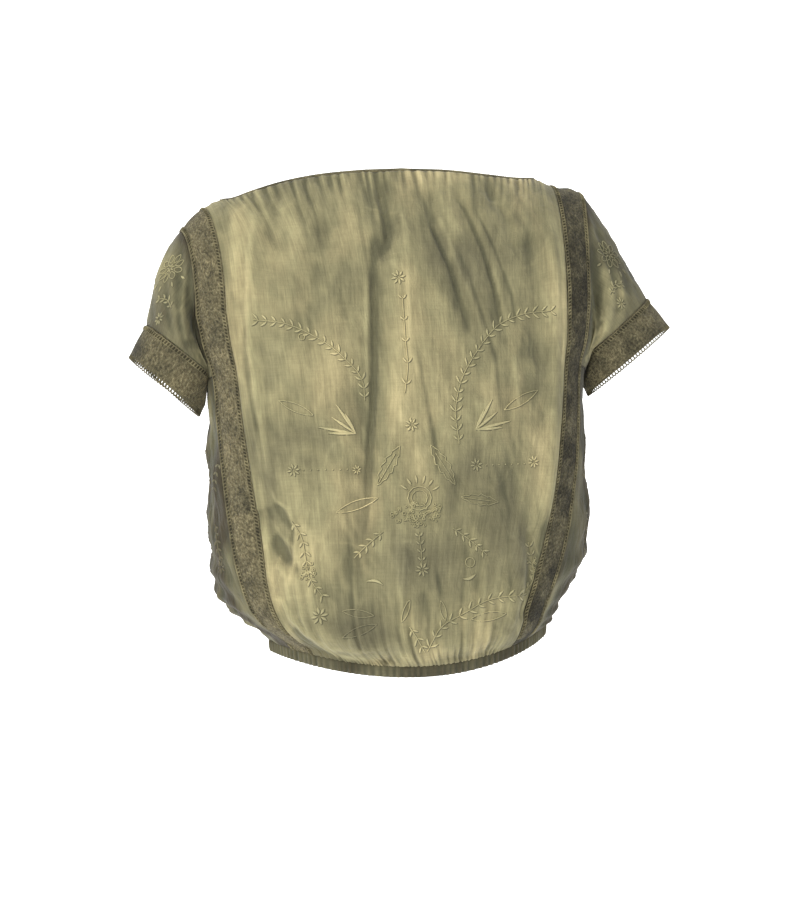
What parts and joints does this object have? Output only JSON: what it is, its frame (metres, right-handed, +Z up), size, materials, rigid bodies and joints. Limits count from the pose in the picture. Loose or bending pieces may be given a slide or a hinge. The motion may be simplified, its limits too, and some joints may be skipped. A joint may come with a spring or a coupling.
{
  "type": "tunic blouse",
  "caption": "Drop-shoulder cotton blouse in worn form: gathered boat neck, lace bands over the shoulders, short cuffed sleeves and a full body bagging over an elastic hem.",
  "frame": {"origin": "between the shoulders, at the height of the shoulder tops, where the wearer holds the blouse up", "axes": "+Z up; +Y towards the wearer's front, so the back faces -Y; +X towards the wearer's right, which is the right-hand side seen from behind"},
  "size_m": [0.7277, 0.3053, 0.651],
  "materials": {
    "voile": "overdyed cotton voile, mottled olive and khaki, matt, with whitework of the same colour",
    "lace": "dense cotton lace band, darker brown-grey, matt, hemstitched along both edges",
    "trim": "narrow cotton binding and crochet picot edging, dark brown-grey, matt"
  },
  "bodies": {
    "root": {"back_panel": "voile", "front_panel": "voile", "lace_band_left": "lace", "lace_band_right": "lace", "side_panel_left": "voile", "side_panel_right": "voile", "sleeve_left": "voile", "sleeve_right": "voile", "cuff_left": "lace", "cuff_right": "lace", "cuff_edging_left": "trim", "cuff_edging_right": "trim", "neck_binding": "trim", "hem_band": "voile"}
  },
  "joints": []
}
